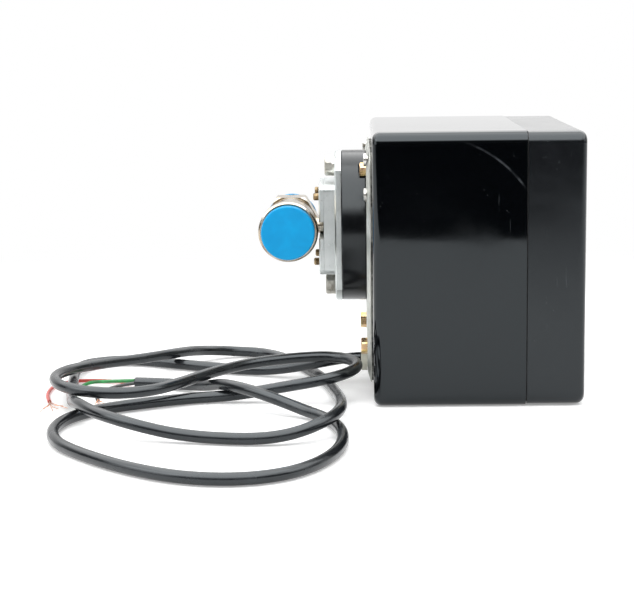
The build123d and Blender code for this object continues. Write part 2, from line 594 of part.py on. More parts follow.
def rear_gear_plate():
    plate = block(*REAR_PLATE_X, -54, 54, 18, 130)
    plate = fillet(plate.edges().filter_by(Axis.X), 5)
    plate -= rod(8, *REAR_PLATE_X)
    plate -= rod(2.55, *REAR_PLATE_X, *IDLER_YZ)
    plate -= rod(5, *REAR_PLATE_X, *MOTOR_YZ)
    for y, z in FRAME_BOLTS:
        plate -= rod(2.5 + STEEL_CLEARANCE, *REAR_PLATE_X, y, z)
    for y, z in BOARD_POSTS + MOTOR_SCREWS:
        plate -= rod(1.5 + STEEL_CLEARANCE, *REAR_PLATE_X, y, z)
    for angle in (STOP_START - STOP_GAP, STOP_START + 90 + STOP_GAP):
        plate -= rod(2.5, *REAR_PLATE_X, *on_stop_circle(angle))
    return plate


def frame_pillars():
    x0, x1 = FRONT_PLATE_X[1], REAR_PLATE_X[0]
    return [ring(4.5, 2.5 + STEEL_CLEARANCE, x0, x1, y, z) for y, z in FRAME_BOLTS]


def shaft_bush():
    return ring(9, SHAFT_R + 0.05, -13.8, 12) + ring(11, SHAFT_R + 0.05, 11, 12)


def gear_motor():
    """Synchronous gear motor: can, gearbox cap, two ears and a hollow for its shaft."""
    y, z = MOTOR_YZ
    x0 = REAR_PLATE_X[1]
    can = rod(MOTOR_D / 2, x0, x0 + 34, y, z)
    can = fillet(can.edges().filter_by(GeomType.CIRCLE).group_by(Axis.X)[-1], 2)
    ears = block(x0, x0 + 1.5, y - 33, y + 33, z - 4.5, z + 4.5)
    can += fillet(ears.edges().filter_by(Axis.X), 4.4)
    can += rod(14, x0 + 33, x0 + 36, y, z)
    for ear_y, ear_z in MOTOR_SCREWS:
        can -= rod(1.5 + STEEL_CLEARANCE, x0 - 1, x0 + 2, ear_y, ear_z)
    return can - rod(2.55, x0 - 1, 44.5, y, z)


def motor_screws():
    seat = REAR_PLATE_X[1] + 1.5
    return [screw(1.5, 2.8, 2.0, seat, REAR_PLATE_X[0] - 1, y, z) for y, z in MOTOR_SCREWS]


# --- position sensing ----------------------------------------------------------------------------
CAMS = {"open": (36.2, 42.2), "closed": (46.2, 52.2)}
CAM_LOBE = {"open": 90.0, "closed": 0.0}        # lobe's middle at rest, from +Y towards +Z
LEVER_Z = AXIS_Z + 13.4
SWITCH_Z = (AXIS_Z + 15.6, AXIS_Z + 25.6)


def limit_cam(name):
    """Disc with a raised lobe over a quarter of a turn that works the switch."""
    x0, x1 = CAMS[name]
    disc = ring(10.5, SHAFT_R, x0, x1)
    lobe = ring(12.5, 9, x0, x1)
    angle = math.radians(CAM_LOBE[name])
    direction = Vector(0, math.cos(angle), math.sin(angle))
    middle = Pos(WALL_X + (x0 + x1) / 2, direction.Y * 11, AXIS_Z + direction.Z * 11)
    keep = middle * Rot(CAM_LOBE[name], 0, 0) * Box(x1 - x0 + 2, 6, 9)
    return disc + (lobe & keep)


def limit_switch(name):
    x0, x1 = CAMS[name]
    case = block(x0, x1, -10, 10, *SWITCH_Z)
    case = fillet(case.edges().filter_by(Axis.X), 0.8)
    for y in (-4.8, 4.8):
        case -= rod(1.2, x0 - 1, x1 + 1, y, SWITCH_Z[0] + 2.6)
    for y in (-8.0, 0.0, 8.0):
        blade_x = (x0 + x1) / 2
        case += block(blade_x - 1.5, blade_x + 1.5, y - 0.4, y + 0.4, SWITCH_Z[1], SWITCH_Z[1] + 4)
    return case


def switch_lever(name):
    """Spring-steel lever hinged at the switch's far end, above its cam."""
    x0, x1 = CAMS[name]
    arm = block(x0 + 1, x1 - 1, -8, 8.6, LEVER_Z, LEVER_Z + 0.6)
    return arm + rod(0.7, x0 + 1, x1 - 1, 8.6, LEVER_Z + 0.7)


def switch_bracket():
    """Angle bracket on the rear plate that carries both switches on its two pins."""
    x0 = REAR_PLATE_X[1]
    foot = block(x0, x0 + 1.5, -12, 12, SWITCH_Z[0] - 1, SWITCH_Z[1] + 1)
    shelf = block(x0, 54, -12, 12, SWITCH_Z[1] + 5, SWITCH_Z[1] + 6.5)
    web = block(x0, x0 + 1.5, -12, 12, SWITCH_Z[1], SWITCH_Z[1] + 6.5)
    bracket = foot + shelf + web
    for y in (-4.8, 4.8):
        bracket -= rod(1.1, x0 - 1, x0 + 3, y, SWITCH_Z[0] + 2.6)
    return bracket


def switch_screws():
    z = SWITCH_Z[0] + 2.6
    return [screw(1.1, 2.2, 1.4, 52.2, REAR_PLATE_X[1], y, z) for y in (-4.8, 4.8)]


# --- circuit board -------------------------------------------------------------------------------
def circuit_board():
    board = block(*BOARD_X, -54, 54, 62, 130)
    board = fillet(board.edges().filter_by(Axis.X), 2)
    for y, z in BOARD_POSTS:
        board -= rod(1.5 + STEEL_CLEARANCE, *BOARD_X, y, z)
    return board


def board_posts():
    x0 = REAR_PLATE_X[1]
    return [hexagon(5.5, x0, BOARD_X[0], y, z) - rod(1.5, BOARD_X[0] - 8, BOARD_X[0] + 1, y, z)
            for y, z in BOARD_POSTS]


def board_screws():
    return [screw(1.5, 2.8, 2.0, BOARD_X[1], BOARD_X[0] - 7, y, z) for y, z in BOARD_POSTS]


TERMINAL_Y = (-38.0, -8.0)


def terminal_block():
    """Six-way screw terminal with wire mouths facing down."""
    x0 = BOARD_X[1]
    case = block(x0, x0 + 11, *TERMINAL_Y, 66, 76)
    case = chamfer(case.edges().filter_by(Axis.Y).sort_by(Axis.X)[-2:], 1.0)
    pitch = (TERMINAL_Y[1] - TERMINAL_Y[0]) / 6
    for way in range(6):
        y = TERMINAL_Y[0] + pitch * (way + 0.5)
        case -= block(x0 + 3, x0 + 7, y - 1.6, y + 1.6, 65, 70)
        case -= rod(1.5, x0 + 9, x0 + 12, y, 72)
    return case


def board_components():
    """Transformer, relay and two smoothing capacitors."""
    x0 = BOARD_X[1]
    transformer = chamfer(block(x0, x0 + 18, 6, 36, 86, 112).edges().filter_by(Axis.X), 1)
    relay = fillet(block(x0, x0 + 15, -30, -18, 92, 112).edges().filter_by(Axis.X), 0.8)
    cans = [rod(5, x0, x0 + 16, y, 104) for y in (-8, -2 + 5.5)]
    cans = [fillet(can.edges().filter_by(GeomType.CIRCLE).group_by(Axis.X)[-1], 0.8) for can in cans]
    return [transformer, relay] + cans


# --- cable entry and wiring ----------------------------------------------------------------------
def cable_gland():
    """Strain-relief bush: a block outside the base plate and a threaded neck through the wall."""
    y, z = GLAND_YZ
    head = block(GLAND_FACE, PLATE_X[0], y - 7.5, y + 7.5, z - 6.3, z + 6.3)
    head = fillet(head.edges().filter_by(Axis.X), 2.5)
    head = fillet(head.faces().sort_by(Axis.X)[0].edges(), 0.8)
    bush = head + rod(5.5, PLATE_X[0], 7.7, y, z)
    return bush - rod(CABLE_D / 2, GLAND_FACE - 1, 8, y, z)


def gland_nut():
    return hexagon(14, WALL, WALL + 3.5, *GLAND_YZ) - rod(5.5, WALL - 1, WALL + 4, *GLAND_YZ)


def bent_tube(points, radius, bend_share=0.45):
    """Tube along straight runs joined by tangent arcs, and the smallest arc's radius."""
    corners = [Vector(*point) for point in points]
    radii = []
    for before, here, after in zip(corners, corners[1:], corners[2:]):
        turn = math.radians((here - before).get_angle(after - here))
        run = min((here - before).length, (after - here).length)
        radii.append(bend_share * run / math.tan(turn / 2))
    path = FilletPolyline(*corners, radius=radii)
    start = Plane(origin=corners[0], z_dir=corners[1] - corners[0])
    return sweep(start * Circle(radius), path=path), path, radii


def lead(points, radius):
    """Insulated wire inside the housing; x is measured from the back wall."""
    tube, _, _ = bent_tube([(WALL_X + x, y, z) for x, y, z in points], radius)
    return tube


CORE_OFFSETS = [(-1.1, -0.7), (1.1, -0.7), (0.0, 1.2)]


def supply_leads():
    """Three cores from the gland up to the terminal block."""
    pitch = (TERMINAL_Y[1] - TERMINAL_Y[0]) / 6
    leads = []
    for way, (dy, dz) in enumerate(CORE_OFFSETS):
        y, z = GLAND_YZ[0] + dy, GLAND_YZ[1] + dz
        mouth_y = TERMINAL_Y[0] + pitch * (way + 2.5)
        x = BOARD_X[1] + 5
        leads.append(lead([(8, y, z), (40, y - 1, z - 1), (x - 6 + way, y, z + 2),
                           (x, mouth_y, 40), (x, mouth_y, 69.5)], 0.9))
    return leads


def motor_leads():
    """Three wires from the motor to the board's lower edge."""
    leads = []
    for way in range(3):
        y = MOTOR_YZ[0] + 16 + 3 * way
        leads.append(lead([(65.6, y - 8, 50), (67.8, y - 7, 54), (67.9, y - 1, 66), (68.4, y, 80)], 0.7))
    return leads


# --- free cable ----------------------------------------------------------------------------------
def cable_sheath():
    tube, path, radii = bent_tube(CABLE_ROUTE, CABLE_D / 2)
    print("cable length", round(path.length, 1), "mm, tightest bend", round(min(radii), 1), "mm")
    return tube


def core(colour):
    tube, _, _ = bent_tube(CORE_ROUTES[colour], CORE_R)
    return tube


def frayed_strands(colour):
    """Seven bare copper strands splayed out beyond the end of one conductor."""
    before, end = (Vector(*point) for point in CORE_ROUTES[colour][-2:])
    ahead = (end - before).normalized()
    aside = Vector(-ahead.Y, ahead.X, 0)
    length = FRAY[colour]
    strands = []
    for number in range(7):
        angle = 2 * math.pi * number / 6
        offset = (aside * math.cos(angle) + Vector(0, 0, 1) * math.sin(angle)) * 0.45
        start = end if number == 6 else end + offset
        reach = length * (0.7 + 0.3 * math.sin(2.4 * number + 1) ** 2)
        spread = aside * (number - 3) * 0.13 * length
        middle = start + ahead * reach * 0.5 + spread * 0.2 + Vector(0, 0, 0.3 * math.cos(number))
        tip = start + ahead * reach + spread + Vector(0, 0, 0.05 * reach * (number % 3) - start.Z + 0.3)
        strands.append(bent_tube([start, middle, tip], 0.17, 0.4)[0])
    return strands


# --- build ---------------------------------------------------------------------------------------
def build_housing():
    save("housing_body", housing_body())
    save("housing_lid", housing_lid())
    save("lid_gasket", lid_gasket())
    save("lid_screws", *lid_screws())
    save("base_plate", base_plate())
    save("base_gasket", base_gasket())
    save("base_plate_screws", *base_plate_screws())
    save("frame_bolts", *frame_bolts())
    save("frame_nuts", *frame_nuts())


def build_flange_stack():
    bolts, washers = flange_bolts()
    save("spacer_flange", spacer_flange())
    save("spacer_screws", *spacer_screws())
    save("adapter_plate", adapter_plate())
    save("valve_pad_plate", valve_pad_plate())
    save("retaining_plate", retaining_plate())
    save("flange_bolts", *bolts)
    save("flange_washers", *washers)
    save("pad_screws", *pad_screws())


def build_valve():
    save("valve_body", valve_body())
    save("valve_end", valve_end())
    save("seat_rings", seat_ring(-1), seat_ring(+1))
    save("valve_ball", valve_ball())
    save("valve_stem", valve_stem())
    save("stem_o_rings", *stem_o_rings())
    save("port_cap_near", port_cap(-1))
    save("port_cap_far", port_cap(+1))


def build_drive():
    save("drive_shaft", drive_shaft())
    save("shaft_clips", *shaft_clips())
    save("shaft_bush", shaft_bush())
    save("rear_bush", ring(8, SHAFT_R + 0.05, REAR_PLATE_X[0], REAR_PLATE_X[1] + 1))
    save("output_gear", output_gear())
    save("stop_pin", stop_pin())
    save("stop_posts", *stop_posts())
    save("idler_gear", idler_gear())
    save("idler_axle", idler_axle())
    save("motor_pinion", motor_pinion())
    save("gear_motor", gear_motor())
    save("front_gear_plate", front_gear_plate())
    save("rear_gear_plate", rear_gear_plate())
    save("frame_pillars", *frame_pillars())


def build_controls():
    for name in CAMS:
        save(f"limit_cam_{name}", limit_cam(name))
        save(f"switch_lever_{name}", switch_lever(name))
    save("limit_switches", *[limit_switch(name) for name in CAMS])
    save("switch_bracket", switch_bracket())
    save("switch_screws", *switch_screws())
    save("m3_screws", *motor_screws(), *board_screws())
    save("circuit_board", circuit_board())
    save("board_posts", *board_posts())
    save("terminal_block", terminal_block())
    save("board_components", *board_components())


def build_wiring():
    save("cable_gland", cable_gland())
    save("gland_nut", gland_nut())
    save("inner_leads", *supply_leads(), *motor_leads())
    save("power_cable", cable_sheath())
    for colour in CORE_ROUTES:
        save(f"core_{colour}", core(colour))
    save("core_strands", *[strand for colour in FRAY for strand in frayed_strands(colour)])


os.makedirs("parts", exist_ok=True)
build_housing()
build_flange_stack()
build_valve()
build_drive()
build_controls()
build_wiring()
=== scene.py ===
import bpy
import math
from mathutils import Matrix, Vector


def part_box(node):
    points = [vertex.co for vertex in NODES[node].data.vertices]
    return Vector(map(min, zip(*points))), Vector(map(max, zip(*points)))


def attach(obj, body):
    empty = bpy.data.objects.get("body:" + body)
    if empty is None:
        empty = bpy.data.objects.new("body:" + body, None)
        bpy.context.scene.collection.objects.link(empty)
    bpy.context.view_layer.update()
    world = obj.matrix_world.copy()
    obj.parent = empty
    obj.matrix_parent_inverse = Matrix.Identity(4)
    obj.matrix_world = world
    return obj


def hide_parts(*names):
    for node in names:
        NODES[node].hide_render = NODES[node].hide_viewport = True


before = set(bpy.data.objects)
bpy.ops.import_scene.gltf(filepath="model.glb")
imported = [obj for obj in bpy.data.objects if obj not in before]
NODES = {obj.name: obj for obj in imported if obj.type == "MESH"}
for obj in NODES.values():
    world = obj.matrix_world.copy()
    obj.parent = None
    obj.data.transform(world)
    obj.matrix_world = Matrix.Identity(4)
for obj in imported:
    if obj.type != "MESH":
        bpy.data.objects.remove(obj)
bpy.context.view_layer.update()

# --- places worked out from the frame ------------------------------------------------------------
BODY_LOW, BODY_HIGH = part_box("housing_body")
WALL_X = BODY_LOW.x
FRONT_Y = BODY_LOW.y

LENS = 94.16                   # millimetres
CAMERA_DISTANCE = 0.839        # from the housing's near face
CAMERA_HEIGHT = 0.1955
CAMERA_TURN, CAMERA_DOWN, CAMERA_ROLL = 1.42, 9.38, -0.78  # degrees

CABLE_DIAMETER = 0.006
CORE_RADIUS = 0.001

# Brightness of the high soft box and of the white back, as gloss sees them.
SOFT_BOX = 3.0
BRIGHT_BACK = 1.0

# The cable's route from the gland to its stripped end, in metres.
CABLE_ROUTE = [
    (-0.0303, -0.0160, 0.0150), (-0.0394, -0.0154, 0.0144), (-0.0495, -0.0120, 0.0120),
    (-0.0590, -0.0065, 0.0092), (-0.0710, 0.0000, 0.0058), (-0.0850, 0.0065, 0.0033),
    (-0.0990, 0.0105, 0.0031), (-0.1110, 0.0150, 0.0031), (-0.1230, 0.0210, 0.0031),
    (-0.1355, 0.0270, 0.0031), (-0.1470, 0.0330, 0.0031), (-0.1580, 0.0380, 0.0031),
    (-0.1690, 0.0400, 0.0031), (-0.1795, 0.0370, 0.0031), (-0.1873, 0.0295, 0.0036),
    (-0.1910, 0.0180, 0.0044), (-0.1915, 0.0010, 0.0052), (-0.1890, -0.0200, 0.0054),
    (-0.1860, -0.0440, 0.0054), (-0.1825, -0.0660, 0.0054), (-0.1790, -0.0850, 0.0066),
    (-0.1740, -0.1020, 0.0102), (-0.1635, -0.1210, 0.0102), (-0.1510, -0.1340, 0.0094),
    (-0.1370, -0.1410, 0.0072), (-0.1225, -0.1445, 0.0046), (-0.1080, -0.1470, 0.0032),
    (-0.0930, -0.1505, 0.0031), (-0.0790, -0.1515, 0.0032), (-0.0670, -0.1505, 0.0044),
    (-0.0565, -0.1470, 0.0066), (-0.0480, -0.1395, 0.0088), (-0.0425, -0.1280, 0.0097),
    (-0.0405, -0.1120, 0.0092), (-0.0410, -0.0860, 0.0070), (-0.0440, -0.0560, 0.0044),
    (-0.0485, -0.0270, 0.0031), (-0.0550, -0.0040, 0.0031), (-0.0625, 0.0150, 0.0031),
    (-0.0710, 0.0350, 0.0031), (-0.0800, 0.0500, 0.0031), (-0.0910, 0.0600, 0.0031),
    (-0.1035, 0.0625, 0.0033), (-0.1155, 0.0585, 0.0048), (-0.1250, 0.0475, 0.0070),
    (-0.1320, 0.0340, 0.0092), (-0.1400, 0.0230, 0.0100), (-0.1495, 0.0145, 0.0100),
    (-0.1590, 0.0070, 0.0100), (-0.1680, -0.0005, 0.0104), (-0.1760, -0.0090, 0.0109),
    (-0.1835, -0.0185, 0.0115), (-0.1900, -0.0300, 0.0121), (-0.1940, -0.0450, 0.0126),
    (-0.1925, -0.0620, 0.0130), (-0.1855, -0.0780, 0.0133), (-0.1718, -0.0890, 0.0128),
    (-0.1542, -0.0915, 0.0122), (-0.1373, -0.0837, 0.0120), (-0.1249, -0.0658, 0.0122),
    (-0.1134, -0.0485, 0.0128), (-0.1019, -0.0335, 0.0132), (-0.0894, -0.0255, 0.0142),
    (-0.0754, -0.0226, 0.0154), (-0.0614, -0.0218, 0.0164), (-0.0478, -0.0216, 0.0168),
    (-0.0365, -0.0291, 0.0166), (-0.0316, -0.0418, 0.0162), (-0.0350, -0.0550, 0.0152),
    (-0.0453, -0.0638, 0.0136), (-0.0598, -0.0655, 0.0112), (-0.0735, -0.0630, 0.0084),
    (-0.0860, -0.0600, 0.0056), (-0.0980, -0.0590, 0.0037), (-0.1090, -0.0600, 0.0031),
    (-0.1200, -0.0630, 0.0031), (-0.1320, -0.0680, 0.0031), (-0.1450, -0.0745, 0.0031),
    (-0.1580, -0.0820, 0.0031), (-0.1690, -0.0920, 0.0031), (-0.1775, -0.1050, 0.0031),
    (-0.1815, -0.1220, 0.0031), (-0.1800, -0.1400, 0.0031), (-0.1740, -0.1570, 0.0031),
    (-0.1650, -0.1700, 0.0031), (-0.1540, -0.1830, 0.0031), (-0.1415, -0.1960, 0.0031),
    (-0.1270, -0.2080, 0.0031), (-0.1110, -0.2175, 0.0031), (-0.0940, -0.2220, 0.0031),
    (-0.0770, -0.2205, 0.0031), (-0.0615, -0.2120, 0.0031), (-0.0490, -0.1950, 0.0031),
    (-0.0410, -0.1720, 0.0031), (-0.0390, -0.1490, 0.0031), (-0.0415, -0.1280, 0.0031),
    (-0.0480, -0.1100, 0.0031), (-0.0580, -0.0980, 0.0038), (-0.0685, -0.0910, 0.0064),
    (-0.0780, -0.0860, 0.0090), (-0.0875, -0.0790, 0.0106), (-0.0965, -0.0695, 0.0108),
    (-0.1045, -0.0580, 0.0096), (-0.1115, -0.0465, 0.0063), (-0.1190, -0.0365, 0.0042),
    (-0.1290, -0.0290, 0.0032), (-0.1410, -0.0250, 0.0031), (-0.1545, -0.0230, 0.0031),
]
CORE_ROUTES = {
    "green": [
        (-0.1552, -0.0226, 0.0042), (-0.1630, -0.0200, 0.0035), (-0.1720, -0.0185, 0.0029),
        (-0.1800, -0.0190, 0.0029), (-0.1843, -0.0270, 0.0019), (-0.1848, -0.0390, 0.0011),
        (-0.1835, -0.0530, 0.0011), (-0.1800, -0.0660, 0.0011), (-0.1765, -0.0770, 0.0011),
    ],
    "red": [
        (-0.1550, -0.0215, 0.0024), (-0.1620, -0.0145, 0.0017), (-0.1705, -0.0090, 0.0011),
        (-0.1805, -0.0065, 0.0011), (-0.1900, -0.0075, 0.0011), (-0.1970, -0.0130, 0.0011),
        (-0.2005, -0.0230, 0.0011), (-0.2006, -0.0360, 0.0011), (-0.1988, -0.0490, 0.0011),
        (-0.1955, -0.0600, 0.0011),
    ],
    "black": [
        (-0.1551, -0.0245, 0.0031), (-0.1610, -0.0275, 0.0029), (-0.1670, -0.0315, 0.0020),
        (-0.1718, -0.0375, 0.0012), (-0.1730, -0.0460, 0.0011), (-0.1705, -0.0560, 0.0011),
    ],
}


# --- camera --------------------------------------------------------------------------------------
def make_camera():
    """Long lens a little above the object, looking along the valve's pipe."""
    data = bpy.data.cameras.new("camera")
    data.lens = LENS
    data.sensor_width = 36
    data.clip_start = 0.05
    data.clip_end = 50
    camera = bpy.data.objects.new("camera", data)
    bpy.context.collection.objects.link(camera)
    turn = Matrix.Rotation(math.radians(CAMERA_TURN), 4, "Z")
    tilt = Matrix.Rotation(math.radians(90 - CAMERA_DOWN), 4, "X")
    roll = Matrix.Rotation(math.radians(CAMERA_ROLL), 4, "Z")
    place = Matrix.Translation((WALL_X - 0.008, FRONT_Y - CAMERA_DISTANCE, CAMERA_HEIGHT))
    camera.matrix_world = place @ turn @ tilt @ roll
    bpy.context.scene.camera = camera


# --- node materials ------------------------------------------------------------------------------
class Graph:
    """A node tree: each method adds nodes and returns the output socket that carries on."""

    def __init__(self, tree, coordinates):
        self.nodes = tree.nodes
        self.links = tree.links
        self.place = self.nodes.new("ShaderNodeTexCoord").outputs[coordinates]

    def stretched(self, scale, turn=(0, 0, 0)):
        """Object coordinates, scaled differently along each axis."""
        mapping = self.nodes.new("ShaderNodeMapping")
        mapping.inputs["Scale"].default_value = scale
        mapping.inputs["Rotation"].default_value = [math.radians(angle) for angle in turn]
        self.links.new(self.place, mapping.inputs["Vector"])
        return mapping.outputs["Vector"]

    def noise(self, scale, detail=4.0, roughness=0.55, distortion=0.0, vector=None):
        node = self.nodes.new("ShaderNodeTexNoise")
        node.inputs["Scale"].default_value = scale
        node.inputs["Detail"].default_value = detail
        node.inputs["Roughness"].default_value = roughness
        node.inputs["Distortion"].default_value = distortion
        self.links.new(vector or self.place, node.inputs["Vector"])
        return node.outputs["Fac"]

    def cells(self, scale):
        node = self.nodes.new("ShaderNodeTexVoronoi")
        node.inputs["Scale"].default_value = scale
        self.links.new(self.place, node.inputs["Vector"])
        return node.outputs["Distance"]

    def coordinate(self, axis):
        node = self.nodes.new("ShaderNodeSeparateXYZ")
        self.links.new(self.place, node.inputs["Vector"])
        return node.outputs[axis]

    def facing(self, axis):
        """How far the surface faces along an axis, from -1 to 1."""
        geometry = self.nodes.new("ShaderNodeNewGeometry")
        node = self.nodes.new("ShaderNodeSeparateXYZ")
        self.links.new(geometry.outputs["Normal"], node.inputs["Vector"])
        return node.outputs[axis]

    def math(self, operation, first, second=0.0, third=0.0):
        node = self.nodes.new("ShaderNodeMath")
        node.operation = operation
        for socket, value in zip(node.inputs, (first, second, third)):
            if isinstance(value, (int, float)):
                socket.default_value = value
            else:
                self.links.new(value, socket)
        return node.outputs["Value"]

    def spread(self, value, low, high, to_low=0.0, to_high=1.0, smooth=True):
        """The value's range from low to high, spread over another range."""
        node = self.nodes.new("ShaderNodeMapRange")
        node.interpolation_type = "SMOOTHSTEP" if smooth else "LINEAR"
        node.inputs["From Min"].default_value = low
        node.inputs["From Max"].default_value = high
        node.inputs["To Min"].default_value = to_low
        node.inputs["To Max"].default_value = to_high
        self.links.new(value, node.inputs["Value"])
        return node.outputs["Result"]

    def ramp(self, value, stops):
        node = self.nodes.new("ShaderNodeValToRGB")
        elements = node.color_ramp.elements
        while len(elements) < len(stops):
            elements.new(0.5)
        for element, (position, colour) in zip(elements, stops):
            element.position = position
            element.color = (*colour, 1)
        self.links.new(value, node.inputs["Fac"])
        return node.outputs["Color"]

    def blend(self, share, first, second):
        """Mixes two colours, given as sockets or as tuples."""
        node = self.nodes.new("ShaderNodeMix")
        node.data_type = "RGBA"
        for socket, value in ((node.inputs[0], share), (node.inputs[6], first), (node.inputs[7], second)):
            if isinstance(value, (int, float)):
                socket.default_value = value
            elif isinstance(value, tuple):
                socket.default_value = (*value, 1)
            else:
                self.links.new(value, socket)
        return node.outputs[2]


class Finish(Graph):
    """A material with one principled shader."""

    def __init__(self, name, colour=(0.5, 0.5, 0.5), roughness=0.5, **values):
        self.material = bpy.data.materials.new(name)
        self.material.use_nodes = True
        super().__init__(self.material.node_tree, "Object")
        self.shader = self.nodes["Principled BSDF"]
        self.shader.inputs["Base Color"].default_value = (*colour, 1)
        self.shader.inputs["Roughness"].default_value = roughness
        for socket, value in values.items():
            self.shader.inputs[socket.replace("_", " ")].default_value = value
        self.material.diffuse_color = (*colour, 1)

    def colour(self, socket):
        self.links.new(socket, self.shader.inputs["Base Color"])

    def rough(self, socket):
        self.links.new(socket, self.shader.inputs["Roughness"])

    def grazing_gloss(self, most=0.5):
        """A clear coat that shows only where the surface is seen at a low angle."""
        facing = self.nodes.new("ShaderNodeLayerWeight").outputs["Facing"]
        self.links.new(self.spread(facing, 0.3, 0.85, 0, most), self.shader.inputs["Coat Weight"])
        self.shader.inputs["Coat Roughness"].default_value = 0.04

    def bump(self, height, depth):
        """Raises the surface by the height times a depth in metres; calls build on each other."""
        node = self.nodes.new("ShaderNodeBump")
        node.inputs["Strength"].default_value = 1.0
        node.inputs["Distance"].default_value = depth
        self.links.new(height, node.inputs["Height"])
        normal = self.shader.inputs["Normal"]
        if normal.is_linked:
            self.links.new(normal.links[0].from_socket, node.inputs["Normal"])
        self.links.new(node.outputs["Normal"], normal)


def paint(finish, *names):
    """Gives a finish to CAD nodes or pieces."""
    for name in names:
        piece = NODES.get(name) or bpy.data.objects[name]
        piece.data.materials.clear()
        piece.data.materials.append(finish.material)


# --- housing finishes ----------------------------------------------------------------------------
def scuff_mask(finish):
    """A soft curved band of fine parallel scratches on the body's near face, below the lid's seam."""
    centre_x, centre_z = WALL_X + 0.026, BODY_HIGH.z - 0.0644
    radius, pitch = 0.0627, 0.00045
    away_x = finish.math("SUBTRACT", finish.coordinate("X"), centre_x)
    away_z = finish.math("SUBTRACT", finish.coordinate("Z"), centre_z)
    square = finish.math("MULTIPLY", away_x, away_x)
    distance = finish.math("SQRT", finish.math("MULTIPLY_ADD", away_z, away_z, square))
    off_line = finish.math("ABSOLUTE", finish.math("SUBTRACT", distance, radius))
    band = finish.spread(off_line, 0.0001, 0.0009, 1, 0)
    wander = finish.spread(finish.noise(150, 3), 0, 1, 0, 9, smooth=False)
    turns = finish.math("MULTIPLY_ADD", distance, 2 * math.pi / pitch, wander)
    hairs = finish.spread(finish.math("SINE", turns), -0.6, 1, 0.25, 1)
    reach = finish.math("MULTIPLY", finish.spread(away_x, 0.019, 0.030), finish.spread(away_z, 0.033, 0.040))
    patchy = finish.spread(finish.noise(210, 3), 0.3, 0.65, 0.2, 1)
    near_face = finish.spread(finish.facing("Y"), -0.9, -0.98)
    whole = band
    for share in (hairs, reach, patchy, near_face):
        whole = finish.math("MULTIPLY", whole, share)
    return whole


def fine_scratches(finish, scale, turn, amount):
    """Sparse hairline scratches: noise stretched far along one direction."""
    lines = finish.noise(1, 3, 0.5, 0.0, finish.stretched(scale, turn))
    sparse = finish.spread(finish.noise(26, 2), 0.52, 0.62)
    return finish.math("MULTIPLY", finish.spread(lines, 0.70 - amount, 0.74 - amount), sparse)


def dust_mask(finish, scale, amount):
    """Scattered specks of dust."""
    specks = finish.spread(finish.cells(scale), 0.10, 0.05)
    chosen = finish.spread(finish.noise(scale * 0.23, 2), 0.64 - amount, 0.68 - amount)
    return finish.math("MULTIPLY", specks, chosen)


def housing_finish():
    """High-gloss moulded black: slight waviness, hairlines, dust and one long scuff."""
    black = (0.0011, 0.0014, 0.0019)
    finish = Finish("housing_gloss", black, 0.05, IOR=1.45, Specular_Tint=(0.86, 0.95, 1.0, 1))
    scuff = scuff_mask(finish)
    hairs = fine_scratches(finish, (900, 900, 30), (0, 24, 0), 0.0)
    dust = dust_mask(finish, 520, 0.02)
    colour = finish.blend(finish.math("MULTIPLY", scuff, 0.32), black, (0.18, 0.20, 0.22))
    colour = finish.blend(finish.math("MULTIPLY", hairs, 0.10), colour, (0.20, 0.22, 0.24))
    finish.colour(finish.blend(finish.math("MULTIPLY", dust, 0.4), colour, (0.28, 0.29, 0.29)))
    smears = finish.spread(finish.noise(16, 5, 0.6, 0.8), 0.35, 0.75, 0.03, 0.09)
    worn = finish.math("MULTIPLY_ADD", finish.math("MAXIMUM", scuff, dust), 0.3, smears)
    finish.rough(finish.math("MULTIPLY_ADD", hairs, 0.10, worn))
    finish.bump(finish.noise(9, 1.5, 0.4), 0.0004)
    finish.bump(finish.noise(130, 2, 0.5), 0.000004)
    finish.grazing_gloss()
    paint(finish, "housing_body")


def lid_finish():
    """Satin moulded black with a fine grain and light handling marks."""
    finish = Finish("lid_satin", (0.005, 0.0055, 0.0065), 0.2, IOR=1.45, Specular_Tint=(0.88, 0.96, 1.0, 1))
    cloud = finish.noise(22, 5, 0.6, 0.6)
    hairs = fine_scratches(finish, (900, 900, 40), (0, 70, 0), 0.03)
    flecks = dust_mask(finish, 420, 0.05)
    colour = finish.ramp(cloud, [(0.3, (0.0035, 0.0040, 0.0048)), (0.75, (0.0075, 0.0085, 0.0100))])
    colour = finish.blend(finish.math("MULTIPLY", hairs, 0.14), colour, (0.20, 0.21, 0.23))
    finish.colour(finish.blend(finish.math("MULTIPLY", flecks, 0.35), colour, (0.22, 0.23, 0.24)))
    finish.rough(finish.spread(cloud, 0.3, 0.8, 0.15, 0.25))
    finish.bump(finish.noise(1500, 2, 0.5), 0.000012)
    finish.bump(finish.noise(10, 1.5, 0.4), 0.0003)
    finish.grazing_gloss()
    paint(finish, "housing_lid")


def gasket_finishes():
    """Lid seal, and the grey sheet behind the base plate with dark squeezed-out sealant."""
    seal = Finish("lid_seal", (0.012, 0.012, 0.013), 0.6)
    seal.rough(seal.spread(seal.noise(300), 0.3, 0.7, 0.45, 0.75))
    specks = dust_mask(seal, 700, 0.16)
    seal.colour(seal.blend(specks, (0.012, 0.012, 0.013), (0.28, 0.27, 0.25)))
    paint(seal, "lid_gasket")

    sheet = Finish("sealing_sheet", (0.16, 0.16, 0.15), 0.7)
    patches = sheet.noise(90, 5, 0.65, 0.3)
    sheet.colour(sheet.ramp(patches, [(0.40, (0.02, 0.02, 0.02)), (0.47, (0.10, 0.10, 0.09)),
                                      (0.56, (0.34, 0.34, 0.31)), (0.7, (0.46, 0.46, 0.42))]))
    sheet.bump(sheet.noise(260, 5), 0.0002)
    paint(sheet, "base_gasket")


